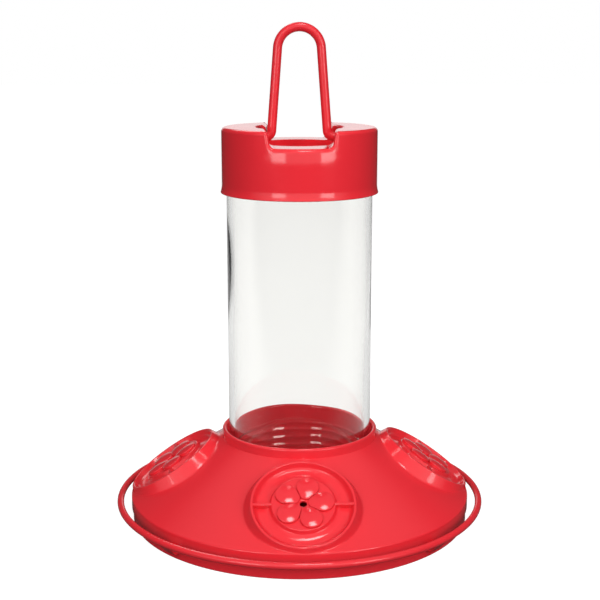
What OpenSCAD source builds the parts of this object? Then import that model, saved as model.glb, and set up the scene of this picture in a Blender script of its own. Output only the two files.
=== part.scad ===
// Hummingbird feeder: an upturned glass jar screwed into a red two-piece nectar base.
// Millimetres, +Z up. The origin is on the jar's axis, on the surface the base stands on.

/* [Basin] */
// Outer diameter of the basin's wall
basin_d = 168; // [150:1:172]
// Height of the ledge that carries the cover's skirt
ledge_h = 6.2; // [5.5:0.1:7]
// Height of the basin's inner rim
basin_rim_h = 11.1; // [9.5:0.1:11.2]
// Thickness of the basin's wall
basin_wall = 2.2; // [1.6:0.1:3]
// Thickness of the basin's floor
basin_floor = 2; // [1.4:0.1:3]
// Height of the foot ring under the floor
foot_h = 1; // [0.6:0.1:2]
// Width of the foot ring
foot_w = 5; // [3:0.5:12]

/* [Perch] */
// Thickness of the round perch ring
perch_t = 3.6; // [3:0.1:5]
// Clear gap between the perch ring and the cover's skirt
perch_gap = 3.6; // [3:0.1:8]
// Height of the perch ring's centre line
perch_h = 9.5; // [9:0.1:12]
// Number of webs that carry the ring
web_count = 4; // [3:1:8]
// Width of one web
web_w = 7; // [4:0.5:12]
// Thickness of one web
web_t = 2.4; // [1.6:0.1:3.2]

/* [Cover] */
// Thickness of the cover's shell
cover_wall = 2; // [1.6:0.1:2.4]
// How far the skirt stands out past the basin's wall
skirt_step = 0.7; // [0.4:0.1:1.5]
// Height of the edge between the skirt and the cone
cone_low_h = 13; // [12.5:0.1:15]
// Height of the cone at the collar
cone_top_h = 40.7; // [38:0.1:42]
// Height of the collar's rim above the cone
collar_rise = 4.6; // [3.5:0.1:8]
// Thickness of the collar and socket wall
collar_wall = 2; // [1.6:0.1:2.6]
// Height of the open lower end of the socket
socket_low_h = 14; // [12:0.5:16]
// Thickness of the stop ring that carries the seal
stop_t = 2; // [1.5:0.1:3]
// Radial play between the cover's skirt and the basin's rim
skirt_play = 0.3; // [0.2:0.05:0.6]

/* [Flower ports] */
// Number of flower ports
port_count = 4; // [3:1:4]
// Distance of a port's centre from the jar's axis
port_at = 64.3; // [63:0.1:65]
// How far a port's rim plane stands above the cone at its centre
port_rise = 3.38; // [3.28:0.1:4.48]
// How much steeper than the cone a port's face is
port_lean = 1.6; // [0.1:0.1:1.6]
// Radius of the raised rim
port_r = 24.2; // [22:0.1:24.5]
// How far the rim's outer wall widens towards the cone
port_flare = 2.6; // [1:0.1:3]
// Width of the raised rim
port_rim_w = 1.7; // [1.2:0.1:2.5]
// Depth of the ring-shaped trough inside the rim
trough_depth = 2; // [1.2:0.1:2.1]
// Radius of the round island that carries the flower
island_r = 14.8; // [14.3:0.1:17]
// How far the island's top lies below the rim
island_drop = 0.3; // [0:0.1:0.8]
// Thickness of the ribs that cross the trough
rib_t = 1.1; // [0.8:0.1:2]
// Number of petals
petal_count = 5; // [4:1:6]
// Radius of one petal
petal_r = 5.6; // [4.5:0.1:5.8]
// Distance of a petal's centre from the feed hole
petal_at = 8.6; // [8:0.1:8.8]
// Height of a petal's upright edge
petal_edge = 0.6; // [0.3:0.1:1]
// Height of a petal's dome above that edge
petal_dome = 1.1; // [0.6:0.1:1.6]
// Turn of the flower on its island
flower_turn = 58; // [0:1:71]
// Diameter of the feed hole
feed_d = 3.3; // [2.5:0.1:4]

/* [Jar] */
// Outer diameter of the glass
jar_d = 70.6; // [60:0.2:72]
// Thickness of the glass
jar_wall = 2.8; // [2:0.1:4]
// Height of the jar's closed end
jar_top_h = 179; // [150:1:200]
// Radius of the corner at the closed end
jar_corner = 6; // [4:0.5:8]
// Depth of the hollow in the closed end
push_up = 2.5; // [1:0.1:4]
// Width of the ring on which the closed end would stand
standing_w = 4; // [3:0.5:6]
// Radial play between the glass and the collar
neck_play = 1.3; // [1:0.1:1.8]
// Thickness of the soft seal under the jar's mouth
seal_t = 2; // [1.5:0.1:3]
// Width of the soft seal
seal_w = 5; // [4:0.1:6]

/* [Cap] */
// Height of the cap's lower edge below the jar's closed end
cap_drop = 16; // [12:0.5:24]
// Height of the cap's top above the jar's closed end
cap_rise = 15.5; // [14:0.1:20]
// Thickness of the cap's walls
cap_wall = 2; // [1.6:0.1:2.6]
// Play between the cap and the glass
cap_play = 0.2; // [0.1:0.05:0.4]
// How far the cap narrows from its lower edge to its top
cap_draft = 0.75; // [0.2:0.05:1]
// Radius of the rounded top edge
cap_edge = 1.6; // [0.8:0.1:1.9]
// Radius of the round well in the top
well_r = 20.5; // [19.5:0.1:22]
// Height of the well's floor above the jar's closed end
well_floor = 2.5; // [2.3:0.1:3]
// Width of the notch in the cap's wall
notch_w = 28.4; // [27.6:0.1:30]
// Depth of the notch below the cap's top
notch_depth = 7.7; // [7.4:0.1:7.9]
// Radius of the notch's lower corners
notch_corner = 2.4; // [1:0.1:3]
// Number of stiffening ribs inside the cap
cap_ribs = 8; // [4:4:12]
// Thickness of one rib inside the cap
cap_rib_t = 1.4; // [1:0.1:2]

/* [Hanger] */
// Thickness of the wire
wire_d = 4.4; // [3:0.1:4.4]
// Radius of the top bend, to the middle of the wire
loop_r = 10.4; // [9:0.1:10.6]
// Lean of each leg from upright
leg_lean = 4.3; // [3:0.1:4.6]
// Radius of the bend at each foot, to the middle of the wire
foot_bend_r = 3.2; // [3:0.1:3.6]
// Height of the pivot above the notch's floor
pivot_lift = 2.8; // [2.4:0.1:3]
// Height of the hanger above its pivot
hanger_h = 53.8; // [45:0.1:60]
// How far a foot reaches past the well's wall
foot_reach = 2; // [1:0.1:4]
// Radial play of a foot in its hole
pivot_play = 0.05; // [0.02:0.01:0.1]

/* [Hidden] */
$fn = 96;
red = [0.80, 0.10, 0.14];
clear_glass = [0.86, 0.88, 0.86, 0.35];
seal_grey = [0.80, 0.80, 0.76];

// Basin and perch
basin_r = basin_d / 2;
skirt_r = basin_r + skirt_step;
skirt_bore_r = skirt_r - cover_wall;
basin_rim_r = skirt_bore_r - skirt_play;
basin_bore_r = basin_rim_r - basin_wall;
floor_top = foot_h + basin_floor;
floor_round = 3;
edge_break = 0.5;
perch_r = skirt_r + perch_gap + perch_t / 2;
web_clear = 0.4;
port_step = 360 / port_count;

// Cover: the collar and socket follow the glass
jar_r = jar_d / 2;
socket_r = jar_r + neck_play;
collar_r = socket_r + collar_wall;
collar_foot = 1.2;
lip_r = collar_wall / 2;
cone_low_r = skirt_r - 0.7;
cone_slope = (cone_top_h - cone_low_h) / (cone_low_r - collar_r);
cone_angle = atan(cone_slope);
cone_fall = cover_wall / cos(cone_angle);
collar_h = cone_top_h + collar_rise;
stop_r = socket_r - seal_w - 1;
stop_top = socket_low_h + stop_t;
seal_play = 0.4;

// Ports: they follow the cone
port_h = cone_low_h + (cone_low_r - port_at) * cone_slope + port_rise;
port_tilt = cone_angle + port_lean;
port_body_h = 9;
port_cavity_h = 14;
trough_r = port_r - port_rim_w;
port_skin = 1.9;
petal_ball_r = (petal_r * petal_r + petal_dome * petal_dome) / (2 * petal_dome);
rib_drop = 0.9;

// Jar
mouth_h = stop_top + seal_t;
jar_bore_r = jar_r - jar_wall;
mouth_round = jar_wall / 2 - 0.1;

// Cap
cap_low_h = jar_top_h - cap_drop;
cap_top_h = jar_top_h + cap_rise;
cap_bore_r = jar_r + cap_play;
cap_low_r = cap_bore_r + cap_wall + cap_draft;
cap_top_r = cap_low_r - cap_draft;
well_floor_h = jar_top_h + well_floor;
notch_h = cap_top_h - notch_depth;
channel_half = notch_w / 2;
channel_flare = 1.3;

// Hanger
pivot_h = notch_h + pivot_lift;
wire_r = wire_d / 2;
loop_h = pivot_h + hanger_h - wire_r - loop_r;
leg_top_x = loop_r * cos(leg_lean);
leg_top_h = loop_h + loop_r * sin(leg_lean);
leg_low_h = pivot_h + foot_bend_r * (1 - sin(leg_lean));
leg_len = (leg_top_h - leg_low_h) / cos(leg_lean);
foot_x = leg_top_x + leg_len * sin(leg_lean) + foot_bend_r * cos(leg_lean);
foot_end = well_r + cap_wall + foot_reach;
foot_hole_r = wire_r + pivot_play;
joint_swell = 0.03;

// Points of an arc about (x, y), from angle a0 to a1 in n steps
function arc(x, y, r, a0, a1, n = 6) =
    [for (i = [0:n]) [x + r * cos(a0 + (a1 - a0) * i / n), y + r * sin(a0 + (a1 - a0) * i / n)]];

// Height of the cone's outer face at a distance from the axis
function cone_z(r) = cone_low_h + (cone_low_r - r) * cone_slope;

// Basin: a shallow dish with a foot ring, a ledge for the cover and a perch ring on webs
module basin() {
    color(red) {
        rotate_extrude($fn = 180)
            polygon(concat(
                [[0, foot_h], [basin_r - foot_w, foot_h], [basin_r - foot_w + edge_break, 0]],
                arc(basin_r - edge_break, edge_break, edge_break, -90, 0, 3),
                [[basin_r, ledge_h], [basin_rim_r, ledge_h]],
                arc(basin_rim_r - edge_break, basin_rim_h - edge_break, edge_break, 0, 90, 3),
                arc(basin_bore_r + edge_break, basin_rim_h - edge_break, edge_break, 90, 180, 3),
                arc(basin_bore_r - floor_round, floor_top + floor_round, floor_round, 0, -90, 4),
                [[0, floor_top]]));
        rotate_extrude($fn = 180)
            translate([perch_r, perch_h])
                circle(d = perch_t, $fn = 24);
        for (i = [0:web_count - 1])
            rotate([0, 0, (i + 0.5) * 360 / web_count])
                perch_web();
    }
}

// One web: a bar from under the skirt that bends up to the perch ring
module perch_web() {
    bar_top = ledge_h - web_clear;
    bend_r = skirt_r + 2 * web_clear;
    translate([0, web_w / 2, 0])
        rotate([90, 0, 0])
            linear_extrude(web_w)
                polygon([[basin_r - 1, bar_top - web_t], [bend_r + web_t / 2, bar_top - web_t],
                    [perch_r + perch_t / 4, perch_h - perch_t / 4], [perch_r - perch_t / 4, perch_h],
                    [bend_r, bar_top], [basin_r - 1, bar_top]]);
}

// Puts its children on the tilted face of every port, with the feed hole's axis along Z
module at_ports() {
    for (i = [0:port_count - 1])
        rotate([0, 0, i * port_step])
            translate([port_at, 0, port_h])
                rotate([0, port_tilt, 0])
                    children();
}

// Outer shape of the cone, skirt and collar, filled
module cover_envelope() {
    rotate_extrude($fn = 180)
        polygon(concat(
            [[0, ledge_h], [skirt_r - edge_break, ledge_h]],
            arc(skirt_r - edge_break, ledge_h + edge_break, edge_break, -90, 0, 3),
            arc(skirt_r - 0.9, cone_low_h - 0.62, 0.9, 0, 90 - cone_angle, 4),
            [[collar_r + collar_foot, cone_z(collar_r + collar_foot)]],
            arc(collar_r + collar_foot, cone_z(collar_r) + 0.6, collar_foot, 240, 180, 3),
            arc(collar_r - lip_r, collar_h - lip_r, lip_r, 0, 90, 4),
            [[0, collar_h]]));
}

// Hollow under the cone, skirt and socket
module cover_cavity() {
    inner_edge_h = cone_z(skirt_bore_r) - cone_fall;
    rotate_extrude($fn = 180)
        polygon([[0, -1], [skirt_bore_r, -1], [skirt_bore_r, inner_edge_h],
            [collar_r, cone_z(collar_r) - cone_fall], [collar_r, socket_low_h], [0, socket_low_h]]);
}

// Raised body of one port, filled, with a rounded rim
module port_body() {
    rotate_extrude($fn = 96)
        polygon(concat(
            [[0, -port_body_h], [port_r + port_flare * port_body_h / 5, -port_body_h]],
            arc(port_r - port_rim_w / 2, -port_rim_w / 2, port_rim_w / 2, 15, 165, 5),
            [[trough_r, -trough_depth], [0, -trough_depth]]));
}

// Hollow behind one port
module port_cavity() {
    back = -trough_depth - port_skin;
    translate([0, 0, back - port_cavity_h / 2])
        cylinder(r = trough_r - port_skin, h = port_cavity_h / 2);
    translate([0, 0, back - 1])
        cylinder(r = island_r - port_skin, h = 1 - back - island_drop - port_skin);
}

// Round island, ribs and petals of one port
module port_flower() {
    low = -trough_depth - port_skin / 2;
    difference() {
        union() {
            translate([0, 0, low])
                cylinder(r1 = island_r + 0.3, r2 = island_r - 0.3, h = -island_drop - low);
            for (side = [-1, 1])
                translate([-rib_t / 2, side > 0 ? island_r - 1 : -trough_r - 0.5, low])
                    cube([rib_t, trough_r - island_r + 1.5, -rib_drop - low]);
        }
        translate([0, 0, -trough_depth - port_skin - 1])
            cylinder(r = island_r - port_skin, h = 1 + trough_depth - island_drop);
    }
    for (i = [0:petal_count - 1])
        rotate([0, 0, flower_turn + i * 360 / petal_count])
            translate([-petal_at, 0, -island_drop])
                petal();
}

// One domed petal
module petal() {
    intersection() {
        cylinder(r = petal_r, h = petal_edge + petal_dome + 1, $fn = 48);
        translate([0, 0, petal_edge + petal_dome - petal_ball_r])
            rotate([90, 0, 0])
                sphere(r = petal_ball_r, $fn = 96);
    }
}

// Cover: cone and skirt with a jar socket and flower ports
module cover() {
    color(red)
        difference() {
            union() {
                difference() {
                    union() {
                        cover_envelope();
                        intersection() {
                            at_ports() port_body();
                            translate([0, 0, ledge_h])
                                cylinder(r = skirt_r, h = collar_h, $fn = 180);
                        }
                    }
                    cover_cavity();
                    at_ports() port_cavity();
                }
                at_ports() port_flower();
                translate([0, 0, socket_low_h])
                    cylinder(r = collar_r, h = cone_top_h - socket_low_h, $fn = 180);
            }
            translate([0, 0, stop_top])
                cylinder(r = socket_r, h = collar_h, $fn = 180);
            cylinder(r = stop_r, h = collar_h, $fn = 180);
            at_ports()
                translate([0, 0, -port_cavity_h / 2])
                    cylinder(d = feed_d, h = port_cavity_h, $fn = 32);
        }
}

// Soft washer between the stop ring and the jar's mouth
module jar_seal() {
    color(seal_grey)
        translate([0, 0, stop_top])
            difference() {
                cylinder(r = socket_r - seal_play, h = seal_t, $fn = 180);
                translate([0, 0, -1])
                    cylinder(r = socket_r - seal_w, h = seal_t + 2, $fn = 180);
            }
}

// Jar: a straight glass cylinder, mouth down, with a hollow in its closed end
module jar() {
    stand_r = jar_r - jar_corner;
    color(clear_glass)
        rotate_extrude($fn = 180)
            polygon(concat(
                [[jar_bore_r, jar_top_h - 2 * jar_corner]],
                arc(jar_bore_r - jar_corner, jar_top_h - jar_wall - jar_corner, jar_corner, 0, 70, 5),
                [[stand_r - 2 * standing_w, jar_top_h - jar_wall - push_up],
                    [0, jar_top_h - jar_wall - push_up], [0, jar_top_h - push_up],
                    [stand_r - 2 * standing_w, jar_top_h - push_up], [stand_r - standing_w, jar_top_h]],
                arc(stand_r, jar_top_h - jar_corner, jar_corner, 90, 0, 6),
                arc(jar_r - mouth_round, mouth_h + mouth_round, mouth_round, 0, -90, 4),
                arc(jar_bore_r + mouth_round, mouth_h + mouth_round, mouth_round, 270, 180, 4)));
}

// Plan of the channel between the well and one notch, a little wider than the folded hanger
module channel_plan(skin) {
    near = channel_half + channel_flare + skin;
    far = channel_half + skin;
    polygon([[-far, cap_bore_r + skin / 2], [far, cap_bore_r + skin / 2], [near, well_r / 2], [-near, well_r / 2]]);
}

// Upright outline of the notch
module notch_outline() {
    polygon(concat(
        arc(-channel_half + notch_corner, notch_corner, notch_corner, 180, 270, 5),
        arc(channel_half - notch_corner, notch_corner, notch_corner, 270, 360, 5),
        [[channel_half + 0.5, notch_depth + 1], [-channel_half - 0.5, notch_depth + 1]]));
}

// Outer shape of the cap, filled
module cap_envelope() {
    rotate_extrude($fn = 180)
        polygon(concat(
            [[0, cap_low_h], [cap_low_r - edge_break, cap_low_h], [cap_low_r, cap_low_h + edge_break]],
            arc(cap_top_r - cap_edge, cap_top_h - cap_edge, cap_edge, 0, 90, 6),
            [[0, cap_top_h]]));
}

// Everything taken out of the cap from above, grown by a skin when it shapes the walls
module cap_recess(skin = 0) {
    translate([0, 0, well_floor_h - skin])
        cylinder(r = well_r + skin, h = cap_rise);
    for (turn = [0, 180])
        rotate([0, 0, turn])
            translate([0, 0, notch_h - skin])
                linear_extrude(cap_rise)
                    channel_plan(skin);
}

// Cap: a thin shell over the jar's closed end, with a well, two notches and holes for the hanger
module cap() {
    color(red)
        difference() {
            union() {
                difference() {
                    cap_envelope();
                    translate([0, 0, cap_low_h - 1])
                        cylinder(r = cap_bore_r, h = cap_top_h - cap_wall - cap_low_h + 1, $fn = 180);
                }
                intersection() {
                    cap_envelope();
                    cap_recess(cap_wall);
                }
                cap_stiffeners();
            }
            cap_recess();
            translate([0, cap_low_r + 1, notch_h])
                rotate([90, 0, 0])
                    linear_extrude(2 * cap_low_r + 2)
                        notch_outline();
            translate([-foot_end - 2, 0, pivot_h])
                rotate([0, 90, 0])
                    cylinder(r = foot_hole_r, h = 2 * foot_end + 4, $fn = 48);
        }
}

// Radial ribs inside the cap, whose lower edges sit on the jar's closed end
module cap_stiffeners() {
    for (i = [0:cap_ribs - 1])
        rotate([0, 0, (i + 0.5) * 360 / cap_ribs])
            translate([well_r + cap_wall / 2, -cap_rib_t / 2, jar_top_h])
                cube([cap_bore_r - well_r, cap_rib_t, cap_rise - cap_wall / 2]);
}

// Hanger: one wire bent to a loop, with feet that turn in the cap
module hanger() {
    color(red) {
        translate([0, 0, loop_h])
            rotate([90, 0, 0])
                rotate([0, 0, leg_lean])
                    rotate_extrude(angle = 180 - 2 * leg_lean, $fn = 96)
                        translate([loop_r, 0])
                            circle(r = wire_r, $fn = 32);
        for (side = [0, 1])
            mirror([side, 0, 0])
                hanger_leg();
    }
}

// Ball that closes the wire where a straight stretch meets a bend, turned along the wire
module wire_joint(x, h, turn) {
    translate([x, 0, h])
        rotate([0, turn, 0])
            sphere(r = wire_r + joint_swell, $fn = 32);
}

// Right-hand leg of the hanger with its foot
module hanger_leg() {
    wire_joint(leg_top_x, leg_top_h, -leg_lean);
    wire_joint(foot_x - foot_bend_r * cos(leg_lean), leg_low_h, -leg_lean);
    wire_joint(foot_x, pivot_h, 90);
    translate([leg_top_x, 0, leg_top_h])
        rotate([0, 180 - leg_lean, 0])
            cylinder(r = wire_r, h = leg_len, $fn = 32);
    translate([foot_x, 0, pivot_h + foot_bend_r])
        rotate([90, 0, 0])
            rotate([0, 0, 180 + leg_lean])
                rotate_extrude(angle = 90 - leg_lean, $fn = 96)
                    translate([foot_bend_r, 0])
                        circle(r = wire_r, $fn = 32);
    translate([foot_x, 0, pivot_h])
        rotate([0, 90, 0])
            cylinder(r = wire_r, h = foot_end - foot_x, $fn = 32);
}

basin();
cover();
jar_seal();
jar();
cap();
hanger();
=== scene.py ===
# Hummingbird feeder: dressed pieces, their finishes, the studio light and the camera.
# Sizes are in millimetres. They repeat the named values of the part's source, apart from those that
# a heading here calls fitted to the photo.
import math

import bmesh
import bpy
from mathutils import Matrix, Vector


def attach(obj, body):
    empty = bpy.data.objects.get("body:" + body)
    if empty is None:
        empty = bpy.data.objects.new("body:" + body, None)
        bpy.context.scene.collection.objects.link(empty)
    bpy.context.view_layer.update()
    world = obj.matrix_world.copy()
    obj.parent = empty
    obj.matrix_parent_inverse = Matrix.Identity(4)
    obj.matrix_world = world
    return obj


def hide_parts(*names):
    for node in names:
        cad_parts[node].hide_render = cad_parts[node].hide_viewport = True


MM = 0.001
QUARTER = math.pi / 2

# Basin
BASIN_R = 84.0
BASIN_RIM_R = 82.4
BASIN_BORE_R = 80.2
BASIN_RIM_H = 11.1
LEDGE_H = 6.2
FOOT_H = 1.0
FOOT_W = 5.0
FOOT_DRAFT = 0.4
BASIN_FLOOR_H = 3.0

# Perch ring, fitted to the photo, and the webs that carry it
PERCH_R = 90.25
PERCH_T = 3.3
PERCH_H = 9.35
WEB_W = 7.0
WEB_T = 2.4
WEB_COUNT = 4
WEB_TOP = 5.8
WEB_BEND_R = 85.5
WEB_ROUND = 0.45

# Cover
SKIRT_R = 84.7
SKIRT_BORE_R = 82.7
CONE_LOW_R = 84.0
CONE_LOW_H = 13.0
CONE_TOP_H = 40.7
COLLAR_R = 38.6
COLLAR_H = 45.3
SOCKET_R = 36.6
SOCKET_LOW_H = 14.0
STOP_R = 30.6
STOP_TOP = 16.0
COVER_WALL = 2.0
CONE_SLOPE = (CONE_TOP_H - CONE_LOW_H) / (CONE_LOW_R - COLLAR_R)
CONE_ANGLE = math.atan(CONE_SLOPE)
CONE_FALL = COVER_WALL / math.cos(CONE_ANGLE)

# Flower ports. The skin is the wall behind the trough, thinner than in the source because the trough
# is deeper here. The window is the hole in the cone, and the foot is how far a port's side reaches down
PORT_COUNT = 4
PORT_AT = 64.3
PORT_RISE = 3.38
PORT_LEAN = math.radians(1.6)
PORT_H = CONE_LOW_H + (CONE_LOW_R - PORT_AT) * CONE_SLOPE + PORT_RISE
PORT_TILT = CONE_ANGLE + PORT_LEAN
PORT_FLARE = 0.52
PORT_FOOT = 8.2
PORT_SKIN = 1.4
WINDOW_R = 22.0
WINDOW_LOW = -13.0
WINDOW_HIGH = 7.0
FEED_R = 1.65
ISLAND_DROP = 0.3

# Rim, trough and island of a port, fitted to the photo. The apron is the trough's floor where it
# rises towards the island
PORT_R = 24.25
TROUGH_R = 23.2
TROUGH_DEPTH = 3.0
TROUGH_DRAFT = 1.5
TROUGH_BEND = 1.9
APRON_W = 3.0
APRON_RISE = 0.8
APRON_BEND = 6.5
ISLAND_R = 14.7
ISLAND_DRAFT = 0.8
RIB_T = 1.5
RIB_DROP = 0.15
RIB_ROOT = 0.8
RIB_BITE = 0.7
RIB_ROUND = 0.3

# Petals, fitted to the photo
PETAL_COUNT = 5
PETAL_R = 5.2
PETAL_AT = 9.1
PETAL_RISE = 1.75
PETAL_EDGE = 1.15
PETAL_TIP = 2.3
PETAL_TIP_BLEND = 0.12
PETAL_DROOP = 1.2
PETAL_ROOT = 0.5
FLOWER_TURN = 58.0

# How the foot of a port meets the cone and the skirt
FOOT_BLEND = 0.8
SKIRT_BLEND = 1.0
FOOT_PROUD = 0.02
FOOT_TUCK = 0.12
FOOT_TUCK_W = 0.5
FAR_BELOW = -40.0

# Jar and its seal. The glass is wavy between the neck and the shoulder
JAR_R = 35.3
JAR_BORE_R = 32.5
JAR_MOUTH_H = 18.0
JAR_TOP_H = 179.0
JAR_CORNER = 6.0
PUSH_UP = 2.5
STANDING_W = 4.0
SEAL_R = 36.2
SEAL_BORE_R = 31.6
WAVE_START = (44, 56)
WAVE_END = (150, 162)
WAVE_OUTSIDE = 0.03
WAVE_INSIDE = -0.10

# Screw thread of the neck and the socket
THREAD_PITCH = 4.1
THREAD_LOW = 20.5
THREAD_HIGH = 36.0
THREAD_FADE = 1.2
NECK_TOP = 42.0
NECK_RIDGE = 0.45
NECK_RIDGE_W = 1.2
SOCKET_RIDGE = 0.4
SOCKET_RIDGE_W = 0.8

# Cap
CAP_LOW_H = 163.0
CAP_TOP_H = 194.5
CAP_LOW_R = 38.25
CAP_TOP_R = 37.5
CAP_BORE_R = 35.5
CAP_WALL = 2.0
WELL_R = 20.5
WELL_FLOOR_H = 181.5
NOTCH_H = 186.8
CHANNEL_HALF = 14.2
CHANNEL_FLARE = 1.3
NOTCH_CORNER = 2.4
CAP_RIBS = 8
CAP_RIB_T = 1.4

# Lips, flare and notches of the cap, fitted to the photo. The dip is where the wall falls back a
# little under a notch
CAP_LIP = 1.9
CAP_FLARE_H = 4.5
NOTCH_SPLAY = 1.4
NOTCH_SPLAY_H = CAP_TOP_H + 3
DIP_DEPTH = 0.5
DIP_LOW_H = NOTCH_H - 10.5
DIP_LOOPS = 6
DIP_TOP = 2.3
DIP_STEP = 1.6

# Hanger
WIRE_R = 2.2
PIVOT_H = 189.6
LOOP_R = 10.4
LOOP_H = 230.8
LEG_LEAN = math.radians(4.3)
FOOT_BEND_R = 3.2
FOOT_END = 24.5
FOOT_HOLE_R = 2.25
LEG_TOP_X = LOOP_R * math.cos(LEG_LEAN)
LEG_TOP_H = LOOP_H + LOOP_R * math.sin(LEG_LEAN)
LEG_LOW_H = PIVOT_H + FOOT_BEND_R * (1 - math.sin(LEG_LEAN))
LEG_LEN = (LEG_TOP_H - LEG_LOW_H) / math.cos(LEG_LEAN)
FOOT_X = LEG_TOP_X + LEG_LEN * math.sin(LEG_LEAN) + FOOT_BEND_R * math.cos(LEG_LEAN)

# Each step of the rounded wire's end: how far it goes, and how much the ring shrinks
WIRE_END = [(0.35, 0.93), (0.3, 0.84), (0.15, 0.86)]

# Steps round each turned or swept shape
BASIN_STEPS = 240
PERCH_STEPS = 300
WIRE_SIDES = 28
COVER_STEPS = 216
WINDOW_STEPS = 72
PORT_STEPS = 144
PETAL_STEPS = 56
JAR_STEPS = 192
SEAL_STEPS = 144
CAP_STEPS = 100
CAVITY_STEPS = 180
WELL_STEPS = 128
HOLE_STEPS = 40
FLARE_LOOPS = 8
PETAL_RINGS = 7

# Longest faces in a port's trough and foot, a length that leaves every stretch uncut, how far a cutter
# runs past what it cuts, and the pull of large faces on the shading
TROUGH_STEP = 1.6
FOOT_STEP = 0.4
UNCUT = 100.0
PAST = 2.0
SHADING_WEIGHT = 60

# Camera, fitted to the round edges in the photo. Its place is given before the turn
CAMERA_TURN = math.radians(-1.6)
CAMERA_TILT = math.radians(78.043)
CAMERA_LENS = 73.82
CAMERA_SENSOR = 36.0
CAMERA_PLACE = (0.26, -593.8, 235.3)

# World: levels of light, and the parts of a direction's Y or Z between which a level fades
WHITE = (1.0, 1.0, 1.0, 1.0)
STUDIO_FRONT = 0.85
STUDIO_SIDE = 0.06
STUDIO_TOP = 0.4
THROUGH_GLASS = 0.9
FRONT_FADE = (-0.75, -0.1)
BACKDROP_FADE = (0.93, 0.985)
ABOVE_FADE = (0.5, 0.9)
GLASS_RISE_FADE = (0.1, 0.4)
GLASS_BACK_FADE = (-0.3, 0.0)

# Floor: its tones, and the places in metres between which a tone fades
FLOOR_SIZE = 6.0
FLOOR_SEEN = 0.3
FLOOR_LIFT = 0.9
FLOOR_FRONT = 0.10
FLOOR_BACK = 0.86
FLOOR_BACK_FADE = (0.03, 0.4)
FLOOR_ASIDE_FADE = (0.3, 0.5)
FLOOR_GLASS_FADE = (-0.2, 0.0)

# Lamps: name, azimuth to the right of the camera and elevation in degrees, width and height in
# metres, power in watts, height of what it faces in metres, and whether it shows in reflections
LAMP_DISTANCE = 1.1
LAMPS = [
    ("softbox_right", 39, 0, 0.38, 0.30, 1.5, 0.31, True),
    ("softbox_left", -31, 0, 0.38, 0.30, 1.3, 0.31, True),
    ("fill_right", 39, 0, 0.38, 0.65, 5.5, 0.785, False),
    ("fill_left", -31, 0, 0.38, 0.65, 4.6, 0.785, False),
    ("softbox_top", 13, 67, 0.25, 0.25, 2.1, 0.05, True),
    ("softbox_back", 196, 44, 0.36, 0.30, 1.25, 0.05, True),
]

# Finishes: lighter and darker tone, lowest and highest roughness, and strength of the skin texture
RED_PLASTIC = ((0.79, 0.026, 0.038), (0.775, 0.024, 0.035), 0.11, 0.14, 0.3)
RED_COATING = ((0.72, 0.021, 0.032), (0.70, 0.019, 0.029), 0.20, 0.24, 0.2)
PLASTIC_IOR = 1.55
NOISE_RANGE = (0.3, 0.7)
GLASS_TINT = (0.967, 0.966, 0.951, 1.0)
GLASS_SHADOW = (0.82, 0.82, 0.81, 1.0)
GLASS_IOR = 1.5
GLASS_ROUGHNESS = 0.02
SEAL_TONES = ((0.70, 0.70, 0.66), (0.80, 0.80, 0.76))
SEAL_ROUGHNESS = 0.6


# Camera, lamps, world and floor

def make_camera():
    """The photograph's view: a long lens, a little above the cap, turned slightly to the left."""
    data = bpy.data.cameras.new("studio_camera")
    data.lens = CAMERA_LENS
    data.sensor_width = CAMERA_SENSOR
    camera = bpy.data.objects.new("studio_camera", data)
    place = Matrix.Rotation(CAMERA_TURN, 3, "Z") @ Vector(CAMERA_PLACE)
    camera.location = place * MM
    camera.rotation_euler = (CAMERA_TILT, 0.0, CAMERA_TURN)
    bpy.context.scene.collection.objects.link(camera)
    bpy.context.scene.camera = camera


def make_softbox(name, azimuth, elevation, width, height, power, aim_h, glossy):
    """A rectangular lamp that faces the feeder. One that isn't glossy only fills the shadows."""
    data = bpy.data.lights.new(name, "AREA")
    data.shape = "RECTANGLE"
    data.size = width
    data.size_y = height
    data.energy = power
    lamp = bpy.data.objects.new(name, data)
    across = math.radians(azimuth)
    up = math.radians(elevation)
    away = Vector((math.sin(across) * math.cos(up), -math.cos(across) * math.cos(up), math.sin(up)))
    lamp.location = Vector((0.0, 0.0, aim_h)) + away * LAMP_DISTANCE
    lamp.rotation_mode = "QUATERNION"
    lamp.rotation_quaternion = away.to_track_quat("Z", "Y")
    lamp.visible_glossy = glossy
    bpy.context.scene.collection.objects.link(lamp)


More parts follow.
